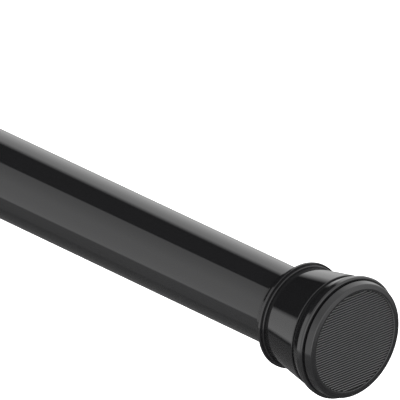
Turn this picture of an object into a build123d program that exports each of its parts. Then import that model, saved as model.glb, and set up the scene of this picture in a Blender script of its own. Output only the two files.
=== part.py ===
"""Spring tension rod: two telescopic tubes, a capped pad at each end, a twist lock and a thrust spring.

The rod lies along X. The origin is the centre of the outer tube's pad, on the plane that meets the wall,
and the rod runs from there towards -X. Lengths are in millimetres, angles in degrees.
"""
from build123d import *
import os

os.makedirs("parts", exist_ok=True)

# Overall lengths and travels
closed_length = 610.0
spring_stroke = 35.0
bare_inner_length = 41.0

# Tubes
outer_tube_diameter = 25.4
outer_tube_wall = 0.7
inner_tube_wall = 0.7
mouth_bush_wall = 0.8

# Clearances
seat_clearance = 0.05
running_clearance = 0.08
press_clearance = 0.02
cut_overshoot = 1.0

# Pad: one round bead with a groove in it. Places are measured back from the wall plane
pad_radius = 19.75
pad_crest_back = 3.6
pad_bead_rounding = 4.55
pad_rim_rounding = 0.7
groove_depth = 1.75
groove_front = 1.53
groove_width = 1.22
bead_back = 4.8
pad_back_radius = 18.0
pad_length = 8.65

# Ribbed field of the pad
field_margin = 1.5
field_depth = 0.85
rib_pitch = 0.81
rib_groove_width = 0.40
rib_groove_depth = 0.35

# Collar
collar_front_radius = 18.45
collar_front_rounding = 0.25
collar_back_radius = 15.65
collar_back = 23.6
flange_ledge_radius = 16.4
flange_ledge_width = 0.85
flange_ledge_rounding = 0.25
flange_radius = 17.05
flange_width = 0.85
flange_rounding = 0.15
ramp_start_radius = 16.6
ramp_end_radius = 14.1
ramp_lip_width = 0.5
collar_length = 29.0
head_back = 3.4
head_width = 3.0
head_radius = 16.2
head_neck_radius = 15.2
tube_seat_back = 12.0
collar_web = 2.6
collar_core_radius = 13.2
collar_boss_radius = 7.0
collar_boss_bore = 5.0

# End plug and its screw
plug_length = 20.0
plug_wall = 1.6
plug_rib_width = 1.6
plug_boss_radius = 4.2
plug_web = 2.5
end_screw_radius = 1.9
end_screw_length = 15.0
screw_head_radius = 4.0
screw_head_height = 2.4
screw_head_rounding = 1.2
screw_recess_width = 0.9
screw_recess_span = 4.4
screw_recess_depth = 1.4
screw_hole_clearance = 0.2

# Bush in the outer tube's mouth
mouth_bush_length = 12.0
mouth_bush_flange_width = 1.5
mouth_bush_flange_proud = 0.5

# Spindle
hex_across_flats = 9.0
journal_radius = 6.0
shoulder_radius = 8.0
shoulder_width = 2.0
cam_journal_radius = 5.2
cam_offset = 0.6
stud_radius = 2.5
stud_end = 1.0
stem_slack = 3.0

# Drag ring and cam
drag_ring_length = 14.0
drag_ring_wall = 2.0
drag_ring_slot = 3.0
drag_ring_hub_width = 4.0
drag_ring_hub_wall = 2.0
cam_length = 16.0
cam_gap = 0.7
cam_slots = 8
cam_slot_width = 2.2
cam_slot_depth = 0.6
cam_washer_width = 1.2
cam_washer_radius = 8.5
cam_screw_radius = 2.0
cam_screw_length = 12.0
lock_nose_gap = 45.0

# Guide bush, piston, spring and stop in the inner tube
guide_bush_length = 14.0
guide_bush_flange_width = 2.0
guide_bush_chamfer = 0.5
pin_radius = 1.5
pin_inset = 0.1
pin_stand_off = 1.0
piston_length = 12.0
piston_floor = 4.0
piston_pocket = 2.0
piston_skirt_wall = 0.9
nut_across_flats = 8.0
nut_height = 4.0
spring_wire_diameter = 1.6
spring_side_clearance = 1.4
spring_turns = 8.0
spring_length = 100.0
stop_length = 16.0
stop_spigot_clearance = 1.0
stop_spigot_length = 8.0
stop_spigot_chamfer = 1.0
stop_hollow_depth = 4.0
stop_hollow_wall = 2.0

# Sizes that follow from these
groove_radius = pad_radius - groove_depth
field_radius = groove_radius - field_margin
outer_tube_bore = outer_tube_diameter / 2 - outer_tube_wall
mouth_bush_radius = outer_tube_bore - press_clearance
inner_tube_diameter = 2 * (mouth_bush_radius - mouth_bush_wall - running_clearance)
inner_tube_bore = inner_tube_diameter / 2 - inner_tube_wall
spring_mean_radius = inner_tube_bore - spring_side_clearance - spring_wire_diameter / 2
stop_spigot_radius = spring_mean_radius - spring_wire_diameter / 2 - stop_spigot_clearance
hex_corner_radius = hex_across_flats / 3**0.5

# Places along X that follow from these, from the pad inwards
outer_tube_start = -tube_seat_back
lock_nose_x = outer_tube_start - plug_length - lock_nose_gap
cam_washer_x = lock_nose_x - screw_head_height - cam_washer_width
cam_front_x = cam_washer_x - running_clearance
cam_back_x = cam_front_x - cam_length
journal_end_x = cam_back_x - running_clearance
drag_front_x = journal_end_x - running_clearance
drag_back_x = drag_front_x - drag_ring_length
stem_shoulder_x = drag_back_x - running_clearance
stem_start_x = stem_shoulder_x - shoulder_width
inner_tube_end = stem_start_x - stem_slack - spring_stroke - guide_bush_flange_width
guide_pin_x = inner_tube_end - guide_bush_length / 2
piston_front_x = inner_tube_end - guide_bush_length
stem_end_x = piston_front_x - piston_pocket
spring_front_x = piston_front_x - piston_floor
stop_front_x = spring_front_x - spring_length
stop_pin_x = stop_front_x - stop_length / 2
mouth_x = -(closed_length - collar_length - bare_inner_length)
inner_tube_start = -(closed_length - tube_seat_back)


def turned(*outline):
    """A solid turned about the rod's axis, from corners given as place along X and radius."""
    return revolve(make_face(Polyline(*outline, close=True)), Axis.X)


def corner(profile, x, radius):
    """The corner of a flat profile that is nearest to a place along X and a radius."""
    return profile.vertices().sort_by_distance((x, radius))[0]


def disc(x_low, x_high, radius, bore=0.0):
    """A plain cylinder or ring between two places along X."""
    return turned((x_low, bore), (x_high, bore), (x_high, radius), (x_low, radius))


def prism(section, x_low, x_high):
    """A section drawn in the YZ plane, carried along X."""
    return extrude(Plane.YZ.offset(x_low) * section, x_high - x_low)


def far_end(piece):
    """A piece of the near end, turned round to the far end of the rod."""
    return Pos(-closed_length, 0, 0) * Rot(0, 0, 180) * piece


def bead(x):
    """The corner of the pad's bead at a place along X, on its round outline."""
    centre = pad_radius - pad_bead_rounding
    return x, centre + (pad_bead_rounding**2 - (x + pad_crest_back) ** 2) ** 0.5


def end_pad():
    """Soft pad: a round bead with a groove in it, a sloping back and a sunk field of straight ribs."""
    groove_back = -groove_front - groove_width
    socket = head_neck_radius + seat_clearance
    head_socket = head_radius + seat_clearance
    head_back_face = -head_back - head_width - seat_clearance
    outline = [
        ThreePointArc(bead(0), bead(-groove_front / 2), bead(-groove_front)),
        Polyline(
            bead(-groove_front),
            (-groove_front, groove_radius),
            (groove_back, groove_radius),
            bead(groove_back),
        ),
        ThreePointArc(bead(groove_back), bead(-pad_crest_back), bead(-bead_back)),
        Polyline(
            bead(-bead_back),
            (-pad_length, pad_back_radius),
            (-pad_length, socket),
            (head_back_face, socket),
            (head_back_face, head_socket),
            (-head_back, head_socket),
            (-head_back, 0),
            (-field_depth, 0),
            (-field_depth, field_radius),
            (0, field_radius),
            bead(0),
        ),
    ]
    profile = make_face(Curve() + outline)
    profile = fillet(corner(profile, *bead(0)), pad_rim_rounding)
    return revolve(profile, Axis.X) - rib_grooves()


def rib_grooves():
    """The straight grooves between the ribs, each as long as the sunk field is wide at its height."""
    grooves = Sketch()
    rows = int(field_radius / rib_pitch)
    for row in range(-rows, rows):
        height = (row + 0.5) * rib_pitch
        half_length = (field_radius**2 - (abs(height) + rib_groove_width) ** 2) ** 0.5
        grooves += Pos(0, height) * Rectangle(2 * half_length, rib_groove_width)
    return prism(grooves, -field_depth - rib_groove_depth, -field_depth)


def end_collar(tube_diameter):
    """Moulded collar: a head for the pad, a cone, a flange with a ledge and a ramp, and the tube's socket."""
    socket = tube_diameter / 2 + seat_clearance
    neck_start = -head_back - head_width
    flange_front = -collar_back - flange_ledge_width
    ramp_start = flange_front - flange_width
    web_front = -tube_seat_back + collar_web
    outline = [
        (-head_back, 0),
        (-head_back, head_radius),
        (neck_start, head_radius),
        (neck_start, head_neck_radius),
        (-pad_length, head_neck_radius),
        (-pad_length, collar_front_radius),
        (-collar_back, collar_back_radius),
        (-collar_back, flange_ledge_radius),
        (flange_front, flange_ledge_radius),
        (flange_front, flange_radius),
        (ramp_start, flange_radius),
        (ramp_start, ramp_start_radius),
        (-collar_length + ramp_lip_width, ramp_end_radius),
        (-collar_length, ramp_end_radius),
        (-collar_length, socket),
        (-tube_seat_back, socket),
        (-tube_seat_back, 0),
    ]
    profile = make_face(Polyline(*outline, close=True))
    profile = fillet(corner(profile, -pad_length, collar_front_radius), collar_front_rounding)
    profile = fillet(corner(profile, -collar_back, flange_ledge_radius), flange_ledge_rounding)
    profile = fillet(corner(profile, flange_front, flange_radius), flange_rounding)
    body = revolve(profile, Axis.X)
    core = disc(web_front, 0, collar_core_radius, collar_boss_radius)
    boss_bore = disc(web_front, 0, collar_boss_bore)
    screw_hole = disc(-tube_seat_back - cut_overshoot, 0, end_screw_radius + screw_hole_clearance)
    return body - core - boss_bore - screw_hole


def end_plug(bore):
    """Moulded plug for a tube's end: a thin cup with a boss for the screw, stiffened by crossed ribs."""
    front = -tube_seat_back
    back = front - plug_length
    radius = bore - press_clearance
    cup = disc(back, front, radius) - disc(back, front - plug_web, radius - plug_wall)
    boss = disc(back, front, plug_boss_radius)
    ribs = [prism(Rectangle(2 * radius - plug_wall, plug_rib_width), back, front - plug_web / 2)]
    ribs.append(prism(Rectangle(plug_rib_width, 2 * radius - plug_wall), back, front - plug_web / 2))
    pilot = disc(back, front + cut_overshoot, end_screw_radius + seat_clearance)
    return cup + boss + ribs - pilot


def pan_screw(head_front, shank_radius, length):
    """Pan head screw pointing to -X, with a cross recess in its head."""
    seat = head_front - screw_head_height
    head = fillet(disc(seat, head_front, screw_head_radius).edges().sort_by(Axis.X)[-1], screw_head_rounding)
    slot = Rectangle(screw_recess_span, screw_recess_width) + Rectangle(screw_recess_width, screw_recess_span)
    recess = prism(slot, head_front - screw_recess_depth, head_front + cut_overshoot)
    return head + disc(seat - length, seat, shank_radius) - recess


def end_screw():
    """Screw that holds a collar on its plug, with its head under the pad."""
    return pan_screw(-tube_seat_back + collar_web + screw_head_height, end_screw_radius, end_screw_length)


def outer_tube():
    """Larger tube, cut square at both ends."""
    return disc(mouth_x, outer_tube_start, outer_tube_diameter / 2, outer_tube_bore)


def inner_tube():
    """Smaller tube, with two cross holes for the pins of the guide bush and the spring stop."""
    tube = disc(inner_tube_start, inner_tube_end, inner_tube_diameter / 2, inner_tube_bore)
    return tube - cross_pin_hole(guide_pin_x) - cross_pin_hole(stop_pin_x)


def mouth_bush():
    """Thin bush in the outer tube's mouth, with a rounded flange over the tube's cut end."""
    bore = mouth_bush_radius - mouth_bush_wall
    flange_radius_here = outer_tube_diameter / 2 + mouth_bush_flange_proud
    flange = disc(mouth_x - mouth_bush_flange_width, mouth_x, flange_radius_here, bore)
    flange = fillet(flange.edges().filter_by(GeomType.CIRCLE).sort_by(Axis.X)[:2], mouth_bush_flange_proud)
    return flange + disc(mouth_x, mouth_x + mouth_bush_length, mouth_bush_radius, bore)


def cross_pin_hole(x):
    """Hole across the inner tube for a pin, along Y."""
    length = inner_tube_diameter + 2 * cut_overshoot
    return Pos(x, 0, 0) * Rot(90, 0, 0) * Cylinder(pin_radius + press_clearance, length)


def cross_pin(x):
    """Pin across the inner tube, just under flush so that it clears the mouth bush."""
    return Pos(x, 0, 0) * Rot(90, 0, 0) * Cylinder(pin_radius, inner_tube_diameter - 2 * pin_inset)


def hexagon(across_flats):
    """A hexagon with flats above and below."""
    return RegularPolygon(across_flats / 2, 6, major_radius=False)


def guide_bush():
    """Bush pressed in the inner tube's end. Its hexagonal hole lets the spindle slide but not turn."""
    body = disc(piston_front_x, inner_tube_end, inner_tube_bore - press_clearance)
    flange = disc(inner_tube_end, inner_tube_end + guide_bush_flange_width, inner_tube_diameter / 2)
    flange = chamfer(flange.edges().sort_by(Axis.X)[-1], guide_bush_chamfer)
    hole_end = inner_tube_end + guide_bush_flange_width + cut_overshoot
    hole = prism(hexagon(hex_across_flats + 2 * running_clearance), piston_front_x - cut_overshoot, hole_end)
    return body + flange - hole - cross_pin_hole(guide_pin_x)


def guide_pins():
    """The two short pins that hold the guide bush, clear of the spindle's hexagon."""
    clear = disc(guide_pin_x - 2 * pin_radius, guide_pin_x + 2 * pin_radius, hex_corner_radius + pin_stand_off)
    return cross_pin(guide_pin_x) - clear


def spring_stop():
    """Stop pinned in the inner tube, with a spigot that centres the spring."""
    back = stop_front_x - stop_length
    body = disc(back, stop_front_x, inner_tube_bore - press_clearance)
    hollow = disc(back, back + stop_hollow_depth, inner_tube_bore - stop_hollow_wall)
    spigot = disc(stop_front_x, stop_front_x + stop_spigot_length, stop_spigot_radius)
    spigot = chamfer(spigot.edges().sort_by(Axis.X)[-1], stop_spigot_chamfer)
    return body + spigot - hollow - cross_pin_hole(stop_pin_x)


def spindle():
    """Spindle: stud, hexagonal stem, shoulder, round journal and, on the cam's side, an eccentric journal."""
    stud = disc(spring_front_x - nut_height - stud_end, stem_end_x, stud_radius)
    stem = prism(hexagon(hex_across_flats), stem_end_x, stem_start_x)
    shoulder = disc(stem_start_x, stem_shoulder_x, shoulder_radius)
    journal = disc(stem_shoulder_x, journal_end_x, journal_radius)
    cam_journal = Pos(0, 0, cam_offset) * disc(journal_end_x, cam_washer_x, cam_journal_radius)
    hole_back = cam_washer_x - cam_screw_length - cut_overshoot
    screw_hole = disc(hole_back, cam_washer_x + cut_overshoot, cam_screw_radius + seat_clearance)
    return stud + stem + shoulder + journal + cam_journal - screw_hole


def piston():
    """Moulded cup clamped on the end of the hexagon. It slides in the inner tube and carries the spring."""
    back = piston_front_x - piston_length
    radius = inner_tube_bore - running_clearance
    cup = disc(back, piston_front_x, radius) - disc(back, spring_front_x, radius - piston_skirt_wall)
    pocket = prism(hexagon(hex_across_flats + 2 * seat_clearance), stem_end_x, piston_front_x + cut_overshoot)
    return cup - pocket - disc(spring_front_x - cut_overshoot, piston_front_x, stud_radius + seat_clearance)


def piston_nut():
    """Nut on the spindle's stud that clamps the piston on the hexagon."""
    nut = prism(hexagon(nut_across_flats), spring_front_x - nut_height, spring_front_x)
    return nut - disc(spring_front_x - nut_height, spring_front_x, stud_radius + seat_clearance)


def spring():
    """Compression spring of round wire, at its fitted length between the piston and the stop."""
    wire = spring_wire_diameter / 2
    span = spring_length - spring_wire_diameter
    helix = Helix(span / spring_turns, span, spring_mean_radius)
    section = Plane(origin=helix @ 0, z_dir=helix % 0) * Circle(wire)
    return Pos(stop_front_x + wire, 0, 0) * Rot(0, 90, 0) * sweep(section, path=helix)


def drag_ring():
    """Split ring that drags in the outer tube: a hub on the round journal and a thin skirt with one slot."""
    radius = outer_tube_bore - running_clearance
    hub_bore = journal_radius + running_clearance
    body = disc(drag_back_x, drag_front_x, radius, hub_bore)
    hub_radius = hub_bore + drag_ring_hub_wall
    room = disc(drag_back_x, drag_front_x - drag_ring_hub_width, radius - drag_ring_wall, hub_radius)
    middle = Pos((drag_back_x + drag_front_x) / 2, 0, radius)
    slot = middle * Box(drag_ring_length + 2 * cut_overshoot, drag_ring_slot, radius)
    return body - room - slot


def cam():
    """Eccentric ring that is concentric with the tube until the spindle is turned. Grip slots line its rim."""
    radius = outer_tube_bore - cam_gap
    ring = disc(cam_back_x, cam_front_x, radius)
    bore_radius = cam_journal_radius + running_clearance
    bore = Pos(0, 0, cam_offset) * disc(cam_back_x, cam_front_x, bore_radius)
    middle = Pos((cam_back_x + cam_front_x) / 2, 0, radius)
    slot = middle * Box(cam_length + 2 * cut_overshoot, cam_slot_width, 2 * cam_slot_depth)
    slots = [Rot(360 / cam_slots * n, 0, 0) * slot for n in range(cam_slots)]
    return ring - bore - slots


def cam_washer():
    """Washer that keeps the cam on its journal."""
    bore = cam_screw_radius + seat_clearance
    return disc(cam_washer_x, cam_washer_x + cam_washer_width, cam_washer_radius, bore)


pieces = {
    "outer_tube": outer_tube(),
    "outer_end_pad": end_pad(),
    "outer_end_collar": end_collar(outer_tube_diameter),
    "outer_end_plug": end_plug(outer_tube_bore),
    "outer_end_screw": end_screw(),
    "tube_mouth_bush": mouth_bush(),
    "inner_tube": inner_tube(),
    "inner_end_pad": far_end(end_pad()),
    "inner_end_collar": far_end(end_collar(inner_tube_diameter)),
    "inner_end_plug": far_end(end_plug(inner_tube_bore)),
    "inner_end_screw": far_end(end_screw()),
    "spindle_guide_bush": guide_bush(),
    "guide_bush_pins": guide_pins(),
    "spring_stop": spring_stop(),
    "spring_stop_pin": cross_pin(stop_pin_x),
    "compression_spring": spring(),
    "spring_piston": piston(),
    "piston_nut": piston_nut(),
    "lock_spindle": spindle(),
    "drag_ring": drag_ring(),
    "lock_cam": cam(),
    "cam_washer": cam_washer(),
    "cam_screw": pan_screw(lock_nose_x, cam_screw_radius, cam_screw_length),
}

for name, piece in pieces.items():
    export_step(piece, f"parts/{name}.step")
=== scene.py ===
"""Spring tension rod: gloss black tubes, moulded collars and ribbed rubber pads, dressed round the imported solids.

The rod lies along X, with the origin at the centre of the outer tube's pad, on the plane that meets the wall.
"""
import math

import bmesh
import bpy
from bpy.props import FloatProperty, FloatVectorProperty, IntProperty, PointerProperty
from bpy.types import Operator, Panel, PropertyGroup
from mathutils import Matrix, Vector


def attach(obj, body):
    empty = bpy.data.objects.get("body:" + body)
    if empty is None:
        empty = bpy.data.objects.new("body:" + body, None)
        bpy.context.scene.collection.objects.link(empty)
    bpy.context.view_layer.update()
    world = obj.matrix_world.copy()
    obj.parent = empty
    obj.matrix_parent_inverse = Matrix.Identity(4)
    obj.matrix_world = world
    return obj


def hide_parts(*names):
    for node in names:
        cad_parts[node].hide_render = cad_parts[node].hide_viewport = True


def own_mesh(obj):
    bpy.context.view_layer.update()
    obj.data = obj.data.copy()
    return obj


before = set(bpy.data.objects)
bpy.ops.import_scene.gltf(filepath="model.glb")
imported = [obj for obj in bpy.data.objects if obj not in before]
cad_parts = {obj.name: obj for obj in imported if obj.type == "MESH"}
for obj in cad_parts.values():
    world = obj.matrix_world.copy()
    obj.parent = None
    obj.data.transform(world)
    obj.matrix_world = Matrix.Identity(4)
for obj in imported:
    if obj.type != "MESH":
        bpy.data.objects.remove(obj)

bl_info = {
    "name": "Spring tension rod",
    "version": (1, 0, 0),
    "blender": (4, 5, 0),
    "location": "View3D > Sidebar > Tension rod",
    "description": "Builds the visible pieces and finishes of a spring tension rod",
    "category": "Object",
}

MM = 0.001

# Sizes in millimetres, with X measured from the pad's wall plane
CLOSED_LENGTH = 610.0
OUTER_TUBE_RADIUS = 12.7
INNER_TUBE_RADIUS = 11.1
TUBE_WALL = 0.7
TUBE_EDGE_ROUNDING = 0.1
TUBE_SEAT_X = -12.0
OUTER_TUBE_MOUTH_X = -540.0
INNER_TUBE_END_X = -152.92
GUIDE_PIN_X = -159.92
STOP_PIN_X = -278.92
PIN_HOLE_RADIUS = 1.52
SPRING_STOP_X = -270.92
SPRING_LENGTH = 100.0
SEAT_GAP = 0.05
PRESS_GAP = 0.02

# Pad, from its back to its face. A corner is its X, its radius and its rounding
PAD_BACK = (-8.65, 18.0, 0.15)
PAD_RING_BACK = (-5.15, 19.5, 0.3)
PAD_RING_FRONT = (-3.15, 19.75, 0.6)
PAD_GROOVE_RADIUS = 17.7
PAD_DISC_FOOT = (-2.5, 18.75, 0.1)
PAD_DISC_EDGE = (-0.25, 18.35, 0.45)
PAD_FACE_EDGE = (0, 16.9, 0.3)
FIELD_RADIUS = 16.3
FIELD_EDGE_ROUNDING = 0.05
FIELD_X = -0.3

# Collar: the head in the pad, the cone, the flange with its ledge, and the ramp down to the tube
HEAD_FRONT_X = -3.4
HEAD_BACK_X = -6.4
HEAD_RADIUS = 16.2
HEAD_ROUNDING = 0.2
NECK_RADIUS = 15.2
CORE_RADIUS = 13.2
BOSS_RADIUS = 7.0
SCREW_HEAD_BORE = 5.0
SCREW_BORE = 2.1
WEB_FRONT_X = -9.4
COLLAR_FRONT = (-8.65, 18.45, 0.25)
COLLAR_FOOT = (-23.6, 15.65)
FLANGE_LEDGE = (-23.6, 16.4, 0.25)
FLANGE_FRONT = (-24.45, 17.05, 0.15)
FLANGE_BACK = (-25.3, 17.05, 0.1)
RAMP_TOP = (-25.3, 16.6)
RAMP_FOOT = (-28.5, 14.1)
COLLAR_BACK = (-29.0, 14.1, 0.15)

# Bush in the outer tube's mouth
BUSH_FLANGE = (-541.5, 13.2, 0.5)
BUSH_BACK_X = -528.0
BUSH_BORE = 11.18
BUSH_MOUTH_ROUNDING = 0.15
BUSH_SHOULDER_ROUNDING = 0.1

# Camera of the photograph: a long lens, and where the pad's centre lies in the picture
PICTURE_PIXELS = 400
PIXELS_PER_MM = 3.29
PAD_CENTRE_PIXEL = (355.4, 341.6)
VIEW_AZIMUTH = 47.75
VIEW_ELEVATION = 25.22
CAMERA_DISTANCE = 5.0
SENSOR_WIDTH = 36.0
FLOOR_HALF_SIZE = 3.0

# How finely the round forms are divided
ROUND_SEGMENTS = 256
ARC_STEPS = 8
PIN_HOLE_SEGMENTS = 48
RIB_SECTION_POINTS = 20
WIRE_SECTION_POINTS = 24
COIL_POINTS = 96

# A corner nearer the axis than this, in millimetres, lies on it
ON_AXIS = 1e-9

# In the copies of the solids, vertices nearer than this in metres are one, and edges over this angle stay sharp
MERGE_DISTANCE = 1e-6
SHARP_ANGLE = 28

# Over this share of its height a rib turns from its groove's painted shade to its crown's painted highlight, and the
# ribs' finish reaches this many millimetres past the field's edge
RIB_SHADE_TO_HIGHLIGHT_SHARE = 0.6
FIELD_MARGIN = 0.03

# Kinds of node that come often, and the Mix node's sockets, whose names repeat
MATH = "ShaderNodeMath"
COMBINE = "ShaderNodeCombineXYZ"
MIX = "ShaderNodeMix"
MIX_FACTOR, MIX_FLOAT_A, MIX_FLOAT_B, MIX_COLOUR_A, MIX_COLOUR_B = 0, 2, 3, 6, 7
MIX_COLOUR_RESULT = 2


class RodSizes(PropertyGroup):
    """Sizes of the dressed pieces that a user would change."""

    rib_pitch: FloatProperty(
        name="Rib pitch", description="From one rib of the pad to the next", default=0.81 * MM, unit="LENGTH",
        precision=5,
    )
    rib_width: FloatProperty(
        name="Rib width", description="Width of a rib across its middle", default=0.34 * MM, unit="LENGTH",
        precision=5,
    )
    rib_crown: FloatProperty(
        name="Rib crown", description="Height of a rib's round top over its widest place", default=0.25 * MM,
        unit="LENGTH", precision=5,
    )
    rib_height: FloatProperty(
        name="Rib height", description="How far a rib stands over the grooves", default=0.35 * MM, unit="LENGTH",
        precision=5,
    )
    wire_diameter: FloatProperty(
        name="Spring wire", description="Diameter of the thrust spring's wire", default=1.6 * MM, unit="LENGTH",
        precision=5,
    )
    coil_diameter: FloatProperty(
        name="Spring coil", description="Mean diameter of the thrust spring's coil", default=16.4 * MM, unit="LENGTH",
        precision=5,
    )
    coil_turns: IntProperty(name="Spring turns", description="Turns of the thrust spring", default=8, min=1)
    floor_drop: FloatProperty(
        name="Floor below rod", description="How far the floor lies under the rod's axis", default=0.6,
        unit="LENGTH",
    )


def linear(code):
    """An sRGB hex code as a linear colour."""
    parts = [int(code[n:n + 2], 16) / 255 for n in (1, 3, 5)]
    return [part / 12.92 if part <= 0.04045 else ((part + 0.055) / 1.055) ** 2.4 for part in parts]


def colour_property(name, description, code):
    """A colour setting with its default from a hex code."""
    return FloatVectorProperty(name=name, description=description, default=linear(code), subtype="COLOR", min=0, max=1)


class RodFinishes(PropertyGroup):
    """Colours and gloss of the finishes that a user would change."""

    enamel: colour_property("Tube enamel", "Baked gloss enamel on the steel tubes", "#1f1f20")
    enamel_roughness: FloatProperty(name="Enamel roughness", description="Gloss of the enamel", default=0.03, min=0)
    plastic: colour_property("Collar plastic", "Gloss moulded ABS of the collars", "#1c1c1d")
    plastic_roughness: FloatProperty(name="Plastic roughness", description="Gloss of the ABS", default=0.03, min=0)
    rubber: colour_property("Pad rubber", "Smooth moulded rubber of the pads", "#1e1e1f")
    rubber_roughness: FloatProperty(name="Rubber roughness", description="Sheen of the rings", default=0.1, min=0)
    # Crown colour of the ribs: paler than the rubber itself, a painted highlight on the crowns
    rib_crown: colour_property("Rib crown", "Matt rubber on the crowns of the ribs", "#5c5c5d")
    # Groove colour of the ribs: near black, painted shade in the grooves and on the field's floor
    rib_groove_painted_shade: colour_property("Rib groove", "Rubber in the grooves between the ribs", "#050505")
    rib_roughness: FloatProperty(name="Rib roughness", description="Sheen of the ribs", default=0.34, min=0)
    nylon: colour_property("Plug nylon", "Moulded black nylon of plugs and guides", "#2b2b2d")
    acetal: colour_property("Lock acetal", "Moulded natural acetal of the cam, drag ring and piston", "#dcdad4")
    filled_nylon: colour_property("Spindle nylon", "Glass filled nylon of the spindle", "#6f7275")
    zinc: colour_property("Zinc plate", "Bright zinc plate on screws, pins, nut and washer", "#c9cac6")
    wire: colour_property("Spring wire", "Oiled music wire of the thrust spring", "#8f9090")


class StudioZone:
    """One part of the studio round the rod, as the rod's gloss mirrors it: its span, and its level by elevation."""

    def __init__(self, azimuth, softness, levels):
        self.azimuth = azimuth
        self.softness = softness
        self.levels = levels


# Azimuth is measured from +X towards +Y, in degrees, over a full turn from STUDIO_START, which lies within a window:
# the first and the last zone reach past it. Softness is the width in degrees of a zone's soft edges
STUDIO_START = 20
STUDIO = {
    "low_window": StudioZone((10, 60), 4, {-90: 0.1, -34: 0.12, -22: 0.3, -9: 1.42, 50: 1.42, 70: 1.0}),
    "backdrop": StudioZone((60, 149.5), 9, {
        -90: 0.1, -25: 0.15, -1.6: 1.09, 10: 1.33, 18: 1.42, 50: 1.42, 70: 1.0,
    }),
    "gap": StudioZone((149.5, 205), 3, {-90: 0.16, -24: 0.18, -20: 0, 50: 0, 58: 1.0}),
    "softbox": StudioZone((205.5, 300), 2, {
        -90: 0.26, -40: 0.28, -25: 0.42, -21: 0.46, -19: 1.32, 16: 1.32, 25: 1.18, 43: 0.85, 70: 1.0,
    }),
    "side_window": StudioZone((300, 390), 2, {
        -90: 0.3, -25: 0.4, -15: 2.0, 20: 1.9, 30: 1.3, 43: 0.85, 70: 1.0,
    }),
}


def add(tree, kind, inputs=None, **settings):
    """A node with its settings, and its inputs given as values, sockets or nodes whose first output feeds them."""
    node = tree.nodes.new(kind)
    for key, value in settings.items():
        setattr(node, key, value)
    for key, value in (inputs or {}).items():
        if isinstance(value, bpy.types.Node):
            value = value.outputs[0]
        if isinstance(value, bpy.types.NodeSocket):
            tree.links.new(value, node.inputs[key])
        else:
            node.inputs[key].default_value = value
    return node


def new_material(name):
    """An empty procedural material, its Principled shader and its object coordinates."""
    material = bpy.data.materials.new(name)
    material.use_nodes = True
    tree = material.node_tree
    place = add(tree, "ShaderNodeTexCoord").outputs["Object"]
    return material, tree, tree.nodes["Principled BSDF"], place


def uneven(tree, shader, place, roughness, spread, patches, grain, depth_mm):
    """Roughness that wanders over patches by a spread, and a grain of a depth.

    Patches and grain are each given as a size in millimetres and a detail.
    """
    wander, height = (
        add(tree, "ShaderNodeTexNoise", {"Vector": place, "Scale": 1 / (size_mm * MM), "Detail": detail})
        for size_mm, detail in (patches, grain)
    )
    low, high = spread
    finish = add(tree, "ShaderNodeMapRange", {"Value": wander, "To Min": roughness * low, "To Max": roughness * high})
    relief = add(tree, "ShaderNodeBump", {"Height": height, "Distance": depth_mm * MM, "Strength": 1.0})
    tree.links.new(finish.outputs[0], shader.inputs["Roughness"])
    tree.links.new(relief.outputs[0], shader.inputs["Normal"])
    return finish


def mottled(tree, shader, place, colours, size_mm, detail):
    """A base colour that wanders between two colours over patches of so many millimetres."""
    patches = add(tree, "ShaderNodeTexNoise", {"Vector": place, "Scale": 1 / (size_mm * MM), "Detail": detail})
    first, second = colours
    mix = add(tree, MIX, {
        MIX_FACTOR: patches, MIX_COLOUR_A: (*first, 1), MIX_COLOUR_B: (*second, 1),
    }, data_type="RGBA")
    tree.links.new(mix.outputs[MIX_COLOUR_RESULT], shader.inputs["Base Color"])


def enamel_material(finishes):
    """Baked enamel on drawn steel tube: sprayed, so faintly rippled, and glossy enough to mirror a lamp's edge."""
    material, tree, shader, place = new_material("baked_enamel")
    shader.inputs["Base Color"].default_value = (*finishes.enamel, 1)
    shader.inputs["IOR"].default_value = 1.5
    uneven(
        tree, shader, place, finishes.enamel_roughness,
        spread=(0.8, 1.4), patches=(6.0, 2.0), grain=(1.6, 2.0), depth_mm=0.0006,
    )
    return material


def plastic_material(finishes):
    """Gloss ABS from a polished mould: slightly softer reflections than the enamel, with faint flow marks."""
    material, tree, shader, place = new_material("gloss_abs")
    shader.inputs["Base Color"].default_value = (*finishes.plastic, 1)
    shader.inputs["IOR"].default_value = 1.5
    uneven(
        tree, shader, place, finishes.plastic_roughness,
        spread=(0.8, 1.5), patches=(4.0, 2.0), grain=(2.5, 2.0), depth_mm=0.0006,
    )
    return material


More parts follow.
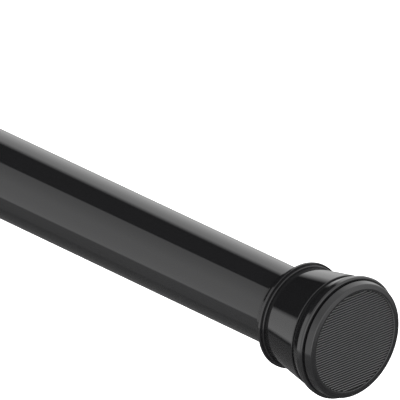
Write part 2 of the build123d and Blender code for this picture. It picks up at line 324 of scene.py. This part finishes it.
def rubber_material(finishes):
    """Moulded rubber: rings from a polished mould, and ribs left matt, with painted shade in the grooves and a painted
    highlight on the crowns.

    The crowns are paler than one rubber would be, so that ribs this fine still show in a small render: that paleness
    is a painted highlight, and the near-black grooves and the field's floor between the ribs are painted shade.
    """
    material, tree, shader, place = new_material("moulded_rubber")
    rib_height = bpy.context.scene.rod_sizes.rib_height
    parts = add(tree, "ShaderNodeSeparateXYZ", {0: place}).outputs
    across = add(tree, COMBINE, {"Y": parts["Y"], "Z": parts["Z"]})
    radius = add(tree, "ShaderNodeVectorMath", {0: across}, operation="LENGTH").outputs["Value"]
    in_field = add(tree, MATH, {0: radius, 1: (FIELD_RADIUS + FIELD_MARGIN) * MM}, operation="LESS_THAN")

    # Both pads lie the same way from the rod's middle, so that one distance gives the height in either field
    from_middle = add(tree, MATH, {0: parts["X"], 1: CLOSED_LENGTH / 2 * MM}, operation="ADD")
    distance = add(tree, MATH, {0: from_middle}, operation="ABSOLUTE")
    crown_place = (CLOSED_LENGTH / 2 + FIELD_X) * MM
    # Painted shading by height: painted shade at a rib's foot and on the floor below, rising to a painted highlight on
    # its crown
    height = add(tree, "ShaderNodeMapRange", {
        "Value": distance, "From Min": crown_place - RIB_SHADE_TO_HIGHLIGHT_SHARE * rib_height, "From Max": crown_place,
    })
    ribs = add(tree, MIX, {
        MIX_FACTOR: height, MIX_COLOUR_A: (*finishes.rib_groove_painted_shade, 1), MIX_COLOUR_B: (*finishes.rib_crown, 1),
    }, data_type="RGBA").outputs[MIX_COLOUR_RESULT]
    colour = add(tree, MIX, {
        MIX_FACTOR: in_field, MIX_COLOUR_A: (*finishes.rubber, 1), MIX_COLOUR_B: ribs,
    }, data_type="RGBA").outputs[MIX_COLOUR_RESULT]
    tree.links.new(colour, shader.inputs["Base Color"])
    shader.inputs["IOR"].default_value = 1.52
    smooth = uneven(
        tree, shader, place, finishes.rubber_roughness,
        spread=(0.85, 1.2), patches=(0.5, 2.0), grain=(0.12, 3.0), depth_mm=0.001,
    )
    finish = add(tree, MIX, {
        MIX_FACTOR: in_field, MIX_FLOAT_A: smooth, MIX_FLOAT_B: finishes.rib_roughness,
    }, data_type="FLOAT")
    tree.links.new(finish.outputs[0], shader.inputs["Roughness"])
    return material


def moulded_material(name, colour, roughness, fleck, fleck_mm):
    """Moulded engineering plastic: satin, with a fine spark texture and a faint mottle."""
    material, tree, shader, place = new_material(name)
    other = [min(1.0, part * fleck) for part in colour]
    mottled(tree, shader, place, (colour, other), fleck_mm, 4.0)
    shader.inputs["IOR"].default_value = 1.52
    uneven(
        tree, shader, place, roughness,
        spread=(0.85, 1.15), patches=(1.5, 2.0), grain=(0.25, 3.0), depth_mm=0.004,
    )
    return material


def metal_material(name, colour, roughness, grain_mm):
    """Plated or drawn steel: a bright metal whose fine grain breaks its reflections."""
    material, tree, shader, place = new_material(name)
    shader.inputs["Metallic"].default_value = 1.0
    worn = [0.8 * part for part in colour]
    mottled(tree, shader, place, (colour, worn), 3.0, 5.0)
    uneven(
        tree, shader, place, roughness,
        spread=(0.7, 1.3), patches=(grain_mm, 3.0), grain=(grain_mm, 2.0), depth_mm=0.002,
    )
    return material


MATERIAL_MAKERS = {
    "tube_enamel": enamel_material,
    "cap_plastic": plastic_material,
    "pad_rubber": rubber_material,
    "plug_nylon": lambda finishes: moulded_material(
        "moulded_nylon", finishes.nylon, roughness=0.42, fleck=1.3, fleck_mm=0.8,
    ),
    "lock_acetal": lambda finishes: moulded_material(
        "moulded_acetal", finishes.acetal, roughness=0.3, fleck=0.94, fleck_mm=2.0,
    ),
    "spindle_nylon": lambda finishes: moulded_material(
        "glass_filled_nylon", finishes.filled_nylon, roughness=0.5, fleck=1.35, fleck_mm=0.3,
    ),
    "zinc_steel": lambda finishes: metal_material(
        "zinc_plated_steel", finishes.zinc, roughness=0.26, grain_mm=0.4,
    ),
    "spring_steel": lambda finishes: metal_material(
        "oiled_music_wire", finishes.wire, roughness=0.3, grain_mm=0.2,
    ),
}


def finish_for(slot):
    """The finish of a material slot, made once."""
    made = bpy.data.materials.get("finish_" + slot)
    if made is None:
        made = MATERIAL_MAKERS[slot](bpy.context.scene.rod_finishes)
        made.name = "finish_" + slot
    return made


def show(name, mesh):
    """A piece in the scene, at the origin, with its place in its mesh."""
    piece = bpy.data.objects.new(name, mesh)
    bpy.context.scene.collection.objects.link(piece)
    return piece


def dress(piece, slot, body, *nodes):
    """Give a piece its finish and its body, and let it stand for its nodes."""
    if not piece.data.materials:
        piece.data.materials.append(finish_for(slot))
    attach(piece, body)
    if nodes:
        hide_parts(*nodes)


def rotated(vector, angle):
    """A flat vector turned by an angle."""
    return Vector((
        vector.x * math.cos(angle) - vector.y * math.sin(angle),
        vector.x * math.sin(angle) + vector.y * math.cos(angle),
    ))


def stations(outline):
    """Points of a closed outline of (x, radius, rounding) corners, with the normals before and after each."""
    corners = [Vector(corner[:2]) for corner in outline]
    count = len(corners)
    normals = []
    for n in range(count):
        along = (corners[(n + 1) % count] - corners[n]).normalized()
        normals.append(Vector((along.y, -along.x)))
    result = []
    for n, corner in enumerate(corners):
        rounding = outline[n][2] if len(outline[n]) > 2 else 0
        before, after = normals[n - 1], normals[n]
        if not rounding:
            result.append((corner, before, after))
            continue
        turn = math.atan2(before.x * after.y - before.y * after.x, before.dot(after))
        reach = rounding * math.tan(abs(turn) / 2)
        along = Vector((-before.y, before.x))
        side = 1 if turn > 0 else -1
        centre = corner - along * reach - before * rounding * side
        for step in range(ARC_STEPS + 1):
            normal = rotated(before, turn * step / ARC_STEPS)
            result.append((centre + normal * rounding * side, normal, normal))
    return result


def turned_mesh(name, outline, turn_round=False):
    """A smooth solid turned about X from an outline that runs anticlockwise, with exact normals."""
    ring_points = stations(outline)
    verts, faces, loop_normals = [], [], []
    rings = []
    for point, _, _ in ring_points:
        if abs(point.y) < ON_AXIS:
            rings.append([len(verts)] * ROUND_SEGMENTS)
            verts.append((point.x * MM, 0, 0))
            continue
        rings.append(list(range(len(verts), len(verts) + ROUND_SEGMENTS)))
        for step in range(ROUND_SEGMENTS):
            angle = math.tau * step / ROUND_SEGMENTS
            verts.append((point.x * MM, point.y * MM * math.cos(angle), point.y * MM * math.sin(angle)))
    for n, (point, _, after) in enumerate(ring_points):
        m = (n + 1) % len(ring_points)
        if abs(point.y) < ON_AXIS and abs(ring_points[m][0].y) < ON_AXIS:
            continue
        near, far = after, ring_points[m][1]
        for step in range(ROUND_SEGMENTS):
            following = (step + 1) % ROUND_SEGMENTS
            quad = [(rings[n][step], near, step), (rings[m][step], far, step),
                    (rings[m][following], far, following), (rings[n][following], near, following)]
            kept = [corner for k, corner in enumerate(quad) if corner[0] != quad[k - 1][0]]
            faces.append([vertex for vertex, _, _ in kept])
            for _, normal, at in kept:
                angle = math.tau * at / ROUND_SEGMENTS
                loop_normals.append(Vector((normal.x, normal.y * math.cos(angle), normal.y * math.sin(angle))))
    if turn_round:
        verts = [(-CLOSED_LENGTH * MM - x, -y, z) for x, y, z in verts]
        loop_normals = [Vector((-v.x, -v.y, v.z)) for v in loop_normals]
    mesh = bpy.data.meshes.new(name)
    mesh.from_pydata(verts, [], faces)
    mesh.shade_smooth()
    mesh.normals_split_custom_set(loop_normals)
    return mesh


def plain_mesh(piece):
    """Turn a piece with live modifiers into a plain mesh."""
    depsgraph = bpy.context.evaluated_depsgraph_get()
    mesh = bpy.data.meshes.new_from_object(piece.evaluated_get(depsgraph))
    mesh.name = piece.name
    piece.modifiers.clear()
    piece.data = mesh
    return piece


def node_group(name, inputs):
    """An empty geometry node tree with named inputs, given as name: (socket type, default)."""
    tree = bpy.data.node_groups.new(name, "GeometryNodeTree")
    tree.interface.new_socket("Geometry", in_out="OUTPUT", socket_type="NodeSocketGeometry")
    for label, (kind, default) in inputs.items():
        socket = tree.interface.new_socket(label, in_out="INPUT", socket_type=kind)
        if default is not None:
            socket.default_value = default
    return tree, add(tree, "NodeGroupInput").outputs


def finish_tree(tree, geometry, given):
    """End a tree with real geometry, shaded smooth and in its material."""
    real = add(tree, "GeometryNodeRealizeInstances", {0: geometry})
    smooth = add(tree, "GeometryNodeSetShadeSmooth", {0: real})
    done = add(tree, "GeometryNodeSetMaterial", {0: smooth, "Material": given["Material"]})
    add(tree, "NodeGroupOutput", {0: done})


def grown(name, tree, material):
    """A piece made by a geometry node tree, as a plain mesh."""
    piece = show(name, bpy.data.meshes.new(name))
    modifier = piece.modifiers.new(tree.name, "NODES")
    modifier.node_group = tree
    for item in tree.interface.items_tree:
        if item.item_type == "SOCKET" and item.in_out == "INPUT" and item.name == "Material":
            modifier[item.identifier] = material
    return plain_mesh(piece)


class RodPiece:
    """What the operators of the rod's pieces share."""

    bl_options = {"REGISTER", "UNDO"}


class BuildTubes(RodPiece, Operator):
    """Make both steel tubes round and smooth, with the pin holes of the inner one."""

    bl_idname = "rod.build_tubes"
    bl_label = "Build tubes"

    def execute(self, context):
        far_seat = -CLOSED_LENGTH - TUBE_SEAT_X
        self.tube("enamelled_outer_tube", OUTER_TUBE_RADIUS, OUTER_TUBE_MOUTH_X, TUBE_SEAT_X, "outer", "outer_tube")
        self.tube("enamelled_inner_tube", INNER_TUBE_RADIUS, far_seat, INNER_TUBE_END_X, "inner", "inner_tube")
        return {"FINISHED"}

    def tube(self, name, radius, x_low, x_high, body, node):
        """One tube between two places along X."""
        bore = radius - TUBE_WALL
        outline = [
            (x_low, bore), (x_high, bore), (x_high, radius, TUBE_EDGE_ROUNDING), (x_low, radius, TUBE_EDGE_ROUNDING),
        ]
        piece = show(name, turned_mesh(name, outline))
        if node == "inner_tube":
            self.drill(piece)
        dress(piece, "tube_enamel", body, node)

    def drill(self, piece):
        """Cut the two cross holes for the pins."""
        for x in (GUIDE_PIN_X, STOP_PIN_X):
            bm = bmesh.new()
            place = Matrix.Translation((x * MM, 0, 0)) @ Matrix.Rotation(math.pi / 2, 4, "X")
            bmesh.ops.create_cone(
                bm, cap_ends=True, segments=PIN_HOLE_SEGMENTS, radius1=PIN_HOLE_RADIUS * MM,
                radius2=PIN_HOLE_RADIUS * MM, depth=4 * INNER_TUBE_RADIUS * MM, matrix=place,
            )
            mesh = bpy.data.meshes.new("pin_hole")
            bm.to_mesh(mesh)
            bm.free()
            drill = show("pin_hole", mesh)
            cut = piece.modifiers.new("pin hole", "BOOLEAN")
            cut.object = drill
            cut.operation = "DIFFERENCE"
            cut.solver = "EXACT"
            plain_mesh(piece)
            bpy.data.objects.remove(drill)


class BuildCollars(RodPiece, Operator):
    """Make both moulded collars: a head for the pad, a cone, a flange with a ledge and a ramp."""

    bl_idname = "rod.build_collars"
    bl_label = "Build collars"

    def execute(self, context):
        for name, body, radius, turn_round in (
            ("outer_end_collar", "outer", OUTER_TUBE_RADIUS, False),
            ("inner_end_collar", "inner", INNER_TUBE_RADIUS, True),
        ):
            mesh = turned_mesh("moulded_" + name, self.outline(radius + SEAT_GAP), turn_round)
            dress(show("moulded_" + name, mesh), "cap_plastic", body, name)
        return {"FINISHED"}

    def outline(self, socket):
        """The collar's section, anticlockwise from its back edge inside the socket."""
        return [
            (COLLAR_BACK[0], socket),
            (TUBE_SEAT_X, socket),
            (TUBE_SEAT_X, SCREW_BORE),
            (WEB_FRONT_X, SCREW_BORE),
            (WEB_FRONT_X, SCREW_HEAD_BORE),
            (HEAD_FRONT_X, SCREW_HEAD_BORE),
            (HEAD_FRONT_X, BOSS_RADIUS, HEAD_ROUNDING),
            (WEB_FRONT_X, BOSS_RADIUS),
            (WEB_FRONT_X, CORE_RADIUS),
            (HEAD_FRONT_X, CORE_RADIUS),
            (HEAD_FRONT_X, HEAD_RADIUS, HEAD_ROUNDING),
            (HEAD_BACK_X, HEAD_RADIUS, HEAD_ROUNDING),
            (HEAD_BACK_X, NECK_RADIUS),
            (COLLAR_FRONT[0], NECK_RADIUS),
            COLLAR_FRONT,
            COLLAR_FOOT,
            FLANGE_LEDGE,
            (FLANGE_FRONT[0], FLANGE_LEDGE[1]),
            FLANGE_FRONT,
            FLANGE_BACK,
            RAMP_TOP,
            RAMP_FOOT,
            COLLAR_BACK,
        ]


class BuildPads(RodPiece, Operator):
    """Make both rubber pads: a ring, a disc with a sloping side in front of its groove, and a sunk face."""

    bl_idname = "rod.build_pads"
    bl_label = "Build pads"

    def execute(self, context):
        for name, body, turn_round in (("outer_end_pad", "outer", False), ("inner_end_pad", "inner", True)):
            mesh = turned_mesh("rubber_" + name, self.outline(context.scene.rod_sizes), turn_round)
            dress(show("rubber_" + name, mesh), "pad_rubber", body, name)
        return {"FINISHED"}

    def outline(self, sizes):
        """The pad's section, anticlockwise from its back edge over the collar's neck."""
        floor_x = FIELD_X - sizes.rib_height / MM
        return [
            (PAD_BACK[0], NECK_RADIUS + SEAT_GAP),
            (HEAD_BACK_X - SEAT_GAP, NECK_RADIUS + SEAT_GAP),
            (HEAD_BACK_X - SEAT_GAP, HEAD_RADIUS + SEAT_GAP),
            (HEAD_FRONT_X, HEAD_RADIUS + SEAT_GAP),
            (HEAD_FRONT_X, 0),
            (floor_x, 0),
            (floor_x, FIELD_RADIUS),
            (0, FIELD_RADIUS, FIELD_EDGE_ROUNDING),
            PAD_FACE_EDGE,
            PAD_DISC_EDGE,
            PAD_DISC_FOOT,
            (PAD_DISC_FOOT[0], PAD_GROOVE_RADIUS),
            (PAD_RING_FRONT[0], PAD_GROOVE_RADIUS),
            PAD_RING_FRONT,
            PAD_RING_BACK,
            PAD_BACK,
        ]


class BuildPadRibs(RodPiece, Operator):
    """Lay straight level ribs across the sunk face of both pads."""

    bl_idname = "rod.build_pad_ribs"
    bl_label = "Build pad ribs"

    def execute(self, context):
        tree = self.tree(context.scene.rod_sizes)
        for name, body, turn_round in (("outer_pad_ribs", "outer", False), ("inner_pad_ribs", "inner", True)):
            piece = grown(name, tree, finish_for("pad_rubber"))
            if turn_round:
                turn = Matrix.Translation((-CLOSED_LENGTH * MM, 0, 0)) @ Matrix.Rotation(math.pi, 4, "Z")
                piece.data.transform(turn)
            dress(piece, "pad_rubber", body)
        return {"FINISHED"}

    def tree(self, sizes):
        """Ribs on a line of points up the face, each as long as the face is wide at its height."""
        rows = int((FIELD_RADIUS * MM - sizes.rib_width / 2) / sizes.rib_pitch)
        tree, given = node_group("pad_ribs", {
            "Pitch": ("NodeSocketFloat", sizes.rib_pitch),
            "Width": ("NodeSocketFloat", sizes.rib_width),
            "Crown": ("NodeSocketFloat", sizes.rib_crown),
            "Field radius": ("NodeSocketFloat", FIELD_RADIUS * MM),
            "Rows each side": ("NodeSocketInt", rows),
            "Material": ("NodeSocketMaterial", None),
        })

        middle_x = add(tree, MATH, {0: FIELD_X * MM, 1: given["Crown"]}, operation="SUBTRACT")
        count = add(tree, MATH, {0: given["Rows each side"], 1: 2, 2: 1}, operation="MULTIPLY_ADD")
        highest = add(tree, MATH, {0: given["Rows each side"], 1: given["Pitch"]}, operation="MULTIPLY")
        lowest = add(tree, MATH, {0: highest, 1: -1}, operation="MULTIPLY")
        start = add(tree, COMBINE, {"X": middle_x, "Z": lowest})
        step = add(tree, COMBINE, {"Z": given["Pitch"]})
        line = add(tree, "GeometryNodeMeshLine", {"Count": count, "Start Location": start, "Offset": step})

        # Half the face's chord at the edge of the rib that lies further out
        position = add(tree, "GeometryNodeInputPosition")
        height = add(tree, "ShaderNodeSeparateXYZ", {0: position}).outputs["Z"]
        distance = add(tree, MATH, {0: height}, operation="ABSOLUTE")
        half_width = add(tree, MATH, {0: given["Width"], 1: 0.5}, operation="MULTIPLY")
        edge = add(tree, MATH, {0: distance, 1: half_width}, operation="ADD")
        radius_squared = add(tree, MATH, {0: given["Field radius"], 1: 2}, operation="POWER")
        edge_squared = add(tree, MATH, {0: edge, 1: 2}, operation="POWER")
        chord_squared = add(tree, MATH, {0: radius_squared, 1: edge_squared}, operation="SUBTRACT")
        not_below_zero = add(tree, MATH, {0: chord_squared, 1: 0}, operation="MAXIMUM")
        half_chord = add(tree, MATH, {0: not_below_zero}, operation="SQRT")

        spine = add(tree, "GeometryNodeCurvePrimitiveLine", {"Start": (0, -1, 0), "End": (0, 1, 0)})
        section = add(
            tree, "GeometryNodeCurvePrimitiveCircle", {"Resolution": RIB_SECTION_POINTS, "Radius": 1.0}, mode="RADIUS",
        )
        bar = add(tree, "GeometryNodeCurveToMesh", {"Curve": spine, "Profile Curve": section, "Fill Caps": True})
        scale = add(tree, COMBINE, {"X": given["Crown"], "Y": half_chord, "Z": half_width})
        ribs = add(tree, "GeometryNodeInstanceOnPoints", {"Points": line, "Instance": bar, "Scale": scale})
        finish_tree(tree, ribs, given)
        return tree


class BuildMouthBush(RodPiece, Operator):
    """Make the thin moulded bush that lines the outer tube's mouth."""

    bl_idname = "rod.build_mouth_bush"
    bl_label = "Build mouth bush"

    def execute(self, context):
        seat = OUTER_TUBE_RADIUS - TUBE_WALL - PRESS_GAP
        outline = [
            (BUSH_FLANGE[0], BUSH_BORE, BUSH_MOUTH_ROUNDING),
            (BUSH_BACK_X, BUSH_BORE),
            (BUSH_BACK_X, seat),
            (OUTER_TUBE_MOUTH_X, seat),
            (OUTER_TUBE_MOUTH_X, BUSH_FLANGE[1], BUSH_SHOULDER_ROUNDING),
            BUSH_FLANGE,
        ]
        mesh = turned_mesh("moulded_mouth_bush", outline)
        dress(show("moulded_mouth_bush", mesh), "cap_plastic", "outer", "tube_mouth_bush")
        return {"FINISHED"}


class BuildSpring(RodPiece, Operator):
    """Wind the thrust spring of round wire between the piston and its stop."""

    bl_idname = "rod.build_spring"
    bl_label = "Build thrust spring"

    def execute(self, context):
        sizes = context.scene.rod_sizes
        piece = grown("wound_thrust_spring", self.tree(sizes), finish_for("spring_steel"))
        dress(piece, "spring_steel", "inner", "compression_spring")
        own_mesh(piece)
        return {"FINISHED"}

    def tree(self, sizes):
        """A spiral along X with a round section and closed ends."""
        tree, given = node_group("thrust_spring", {
            "Wire diameter": ("NodeSocketFloat", sizes.wire_diameter),
            "Coil diameter": ("NodeSocketFloat", sizes.coil_diameter),
            "Turns": ("NodeSocketInt", sizes.coil_turns),
            "Length": ("NodeSocketFloat", SPRING_LENGTH * MM),
            "Material": ("NodeSocketMaterial", None),
        })

        coil_radius = add(tree, MATH, {0: given["Coil diameter"], 1: 0.5}, operation="MULTIPLY")
        wire_radius = add(tree, MATH, {0: given["Wire diameter"], 1: 0.5}, operation="MULTIPLY")
        height = add(tree, MATH, {0: given["Length"], 1: given["Wire diameter"]}, operation="SUBTRACT")
        spiral = add(tree, "GeometryNodeCurveSpiral", {
            "Resolution": COIL_POINTS, "Rotations": given["Turns"], "Start Radius": coil_radius,
            "End Radius": coil_radius, "Height": height,
        })
        section = add(tree, "GeometryNodeCurvePrimitiveCircle", {
            "Resolution": WIRE_SECTION_POINTS, "Radius": wire_radius,
        }, mode="RADIUS")
        wire = add(tree, "GeometryNodeCurveToMesh", {"Curve": spiral, "Profile Curve": section, "Fill Caps": True})
        start_x = add(tree, MATH, {0: wire_radius, 1: SPRING_STOP_X * MM}, operation="ADD")
        start = add(tree, COMBINE, {"X": start_x})
        placed = add(tree, "GeometryNodeTransform", {
            "Geometry": wire, "Translation": start, "Rotation": (0, math.pi / 2, 0),
        })
        finish_tree(tree, placed, given)
        return tree


# Inner pieces keep the form of their solids: the node's name, then its slot and its body
LOCK_PIECES = {
    "lock_spindle": ("spindle_nylon", "spindle"),
    "drag_ring": ("lock_acetal", "glide"),
    "lock_cam": ("lock_acetal", "cam"),
    "cam_washer": ("zinc_steel", "spindle"),
    "cam_screw": ("zinc_steel", "spindle"),
}
GUIDE_PIECES = {
    "spindle_guide_bush": ("plug_nylon", "inner"),
    "guide_bush_pins": ("zinc_steel", "inner"),
    "spring_stop": ("plug_nylon", "inner"),
    "spring_stop_pin": ("zinc_steel", "inner"),
    "spring_piston": ("lock_acetal", "spindle"),
    "piston_nut": ("zinc_steel", "spindle"),
}
END_PIECES = {
    "outer_end_plug": ("plug_nylon", "outer"),
    "outer_end_screw": ("zinc_steel", "outer"),
    "inner_end_plug": ("plug_nylon", "inner"),
    "inner_end_screw": ("zinc_steel", "inner"),
}


def smooth_copies(pieces):
    """Merged copies of the solids' meshes, smooth over their round faces and sharp at their edges."""
    for node, (slot, body) in pieces.items():
        bm = bmesh.new()
        bm.from_mesh(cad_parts[node].data)
        bmesh.ops.remove_doubles(bm, verts=bm.verts, dist=MERGE_DISTANCE)
        mesh = bpy.data.meshes.new("finished_" + node)
        bm.to_mesh(mesh)
        bm.free()
        mesh.materials.clear()
        mesh.shade_smooth()
        mesh.set_sharp_from_angle(angle=math.radians(SHARP_ANGLE))
        dress(show("finished_" + node, mesh), slot, body, node)


class BuildTwistLock(RodPiece, Operator):
    """Finish the spindle, drag ring, cam, washer and screw of the twist lock."""

    bl_idname = "rod.build_twist_lock"
    bl_label = "Build twist lock"

    def execute(self, context):
        smooth_copies(LOCK_PIECES)
        return {"FINISHED"}


class BuildSpringGuides(RodPiece, Operator):
    """Finish the guide bush, stop, piston, nut and pins round the spring."""

    bl_idname = "rod.build_spring_guides"
    bl_label = "Build spring guides"

    def execute(self, context):
        smooth_copies(GUIDE_PIECES)
        return {"FINISHED"}


class BuildEndFixings(RodPiece, Operator):
    """Finish the end plugs and the screws that hold the collars on them."""

    bl_idname = "rod.build_end_fixings"
    bl_label = "Build end fixings"

    def execute(self, context):
        smooth_copies(END_PIECES)
        return {"FINISHED"}


def within(tree, value, limits, softness):
    """One between two limits and nothing outside them, with soft edges."""
    ramps = []
    for limit, sign in zip(limits, (1, -1)):
        past = add(tree, MATH, {0: value, 1: limit}, operation="SUBTRACT")
        slope = {0: past, 1: sign / softness, 2: 0.5}
        ramps.append(add(tree, MATH, slope, operation="MULTIPLY_ADD", use_clamp=True))
    return add(tree, MATH, dict(enumerate(ramps)), operation="MULTIPLY")


def graded(tree, elevation, levels):
    """The level at an elevation, with straight slopes between the given ones."""
    places = sorted(levels)
    total = levels[places[0]]
    for low, high in zip(places, places[1:]):
        rise = add(tree, "ShaderNodeMapRange", {
            "Value": elevation, "From Min": low, "From Max": high, "To Max": levels[high] - levels[low],
        })
        total = add(tree, MATH, {0: total, 1: rise}, operation="ADD")
    return total


class BuildStage(RodPiece, Operator):
    """Set up the pale floor, the studio light and the photograph's camera."""

    bl_idname = "rod.build_stage"
    bl_label = "Build stage"

    def execute(self, context):
        self.camera(context.scene)
        self.studio(context.scene)
        self.floor(context.scene.rod_sizes.floor_drop)
        context.scene.view_settings.view_transform = "Standard"
        return {"FINISHED"}

    def camera(self, scene):
        """A long lens at the photograph's angle, with the pad's centre at its place in the picture."""
        azimuth, elevation = math.radians(VIEW_AZIMUTH), math.radians(VIEW_ELEVATION)
        level = math.cos(elevation)
        back = Vector((math.sin(azimuth) * level, -math.cos(azimuth) * level, math.sin(elevation)))
        right = Vector((math.cos(azimuth), math.sin(azimuth), 0))
        up = back.cross(right)
        column, row = (pixel - PICTURE_PIXELS / 2 for pixel in PAD_CENTRE_PIXEL)
        target = (up * row - right * column) / PIXELS_PER_MM * MM
        data = bpy.data.cameras.new("camera")
        data.sensor_width = SENSOR_WIDTH
        data.lens = SENSOR_WIDTH * CAMERA_DISTANCE / (PICTURE_PIXELS / PIXELS_PER_MM * MM)
        data.clip_end = 4 * CAMERA_DISTANCE
        camera = bpy.data.objects.new("camera", data)
        scene.collection.objects.link(camera)
        camera.matrix_world = (
            Matrix.Translation(target + back * CAMERA_DISTANCE) @ Matrix((right, up, back)).transposed().to_4x4()
        )
        scene.camera = camera

    def studio(self, scene):
        """A world of soft studio zones, plain white where the camera looks straight at it."""
        world = bpy.data.worlds.new("studio")
        scene.world = world
        world.use_nodes = True
        tree = world.node_tree
        tree.nodes.clear()

        direction = add(tree, "ShaderNodeTexCoord").outputs["Generated"]
        parts = add(tree, "ShaderNodeSeparateXYZ", {0: direction}).outputs
        turn = add(tree, MATH, {0: parts["Y"], 1: parts["X"]}, operation="ARCTAN2")
        climb = add(tree, MATH, {0: parts["Z"]}, operation="ARCSINE")
        turn, elevation = (
            add(tree, MATH, {0: angle, 1: 180 / math.pi}, operation="MULTIPLY") for angle in (turn, climb)
        )
        past_start = add(tree, MATH, {0: turn, 1: STUDIO_START}, operation="SUBTRACT")
        around = add(tree, MATH, {0: past_start, 1: 360}, operation="FLOORED_MODULO")
        azimuth = add(tree, MATH, {0: around, 1: STUDIO_START}, operation="ADD")
        total = 0
        for zone in STUDIO.values():
            across = within(tree, azimuth, zone.azimuth, zone.softness)
            height = graded(tree, elevation, zone.levels)
            total = add(tree, MATH, {0: across, 1: height, 2: total}, operation="MULTIPLY_ADD")
        seen = add(tree, "ShaderNodeLightPath").outputs["Is Camera Ray"]
        level = add(tree, MIX, {MIX_FACTOR: seen, MIX_FLOAT_A: total, MIX_FLOAT_B: 1.0}, data_type="FLOAT")
        background = add(tree, "ShaderNodeBackground", {"Color": (1, 1, 1, 1), "Strength": level})
        add(tree, "ShaderNodeOutputWorld", {0: background})

    def floor(self, drop):
        """A pale floor well below the rod, which hangs between two walls."""
        bm = bmesh.new()
        bmesh.ops.create_grid(bm, x_segments=1, y_segments=1, size=FLOOR_HALF_SIZE)
        mesh = bpy.data.meshes.new("floor")
        bm.to_mesh(mesh)
        bm.free()
        mesh.transform(Matrix.Translation((-CLOSED_LENGTH / 2 * MM, 0, -drop)))
        material = bpy.data.materials.new("pale_floor")
        material.use_nodes = True
        tree = material.node_tree
        shader = tree.nodes["Principled BSDF"]
        shader.inputs["Base Color"].default_value = (*linear("#f2f2f2"), 1)
        shader.inputs["Roughness"].default_value = 0.9
        seen = add(tree, "ShaderNodeLightPath").outputs["Is Camera Ray"]

        # Plain white to the camera, and hidden from the gloss, which mirrors the studio's own lower half instead
        tree.links.new(seen, shader.inputs["Emission Strength"])
        shader.inputs["Emission Color"].default_value = (1, 1, 1, 1)
        mesh.materials.append(material)
        floor = show("floor", mesh)
        floor.visible_glossy = False


PIECES = (
    BuildTubes, BuildCollars, BuildPads, BuildPadRibs, BuildMouthBush, BuildSpring, BuildTwistLock,
    BuildSpringGuides, BuildEndFixings,
)


class TensionRodPanel(Panel):
    """Panel in the 3D view's sidebar with the rod's pieces and settings."""

    bl_idname = "VIEW3D_PT_tension_rod"
    bl_label = "Tension rod"
    bl_space_type = "VIEW_3D"
    bl_region_type = "UI"
    bl_category = "Tension rod"

    def draw(self, context):
        for operator in (BuildStage, *PIECES):
            self.layout.operator(operator.bl_idname)
        for settings in (context.scene.rod_sizes, context.scene.rod_finishes):
            for name in settings.bl_rna.properties.keys():
                if name not in ("name", "rna_type"):
                    self.layout.prop(settings, name)


CLASSES = (RodSizes, RodFinishes, BuildStage, *PIECES, TensionRodPanel)


def register():
    for cls in CLASSES:
        bpy.utils.register_class(cls)
    bpy.types.Scene.rod_sizes = PointerProperty(type=RodSizes)
    bpy.types.Scene.rod_finishes = PointerProperty(type=RodFinishes)


def unregister():
    del bpy.types.Scene.rod_finishes
    del bpy.types.Scene.rod_sizes
    for cls in reversed(CLASSES):
        bpy.utils.unregister_class(cls)


def main():
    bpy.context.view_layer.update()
    register()
    bpy.ops.rod.build_stage()
    bpy.ops.rod.build_tubes()
    bpy.ops.rod.build_collars()
    bpy.ops.rod.build_pads()
    bpy.ops.rod.build_pad_ribs()
    bpy.ops.rod.build_mouth_bush()
    bpy.ops.rod.build_spring()
    bpy.ops.rod.build_twist_lock()
    bpy.ops.rod.build_spring_guides()
    bpy.ops.rod.build_end_fixings()


if __name__ == "__main__":
    main()
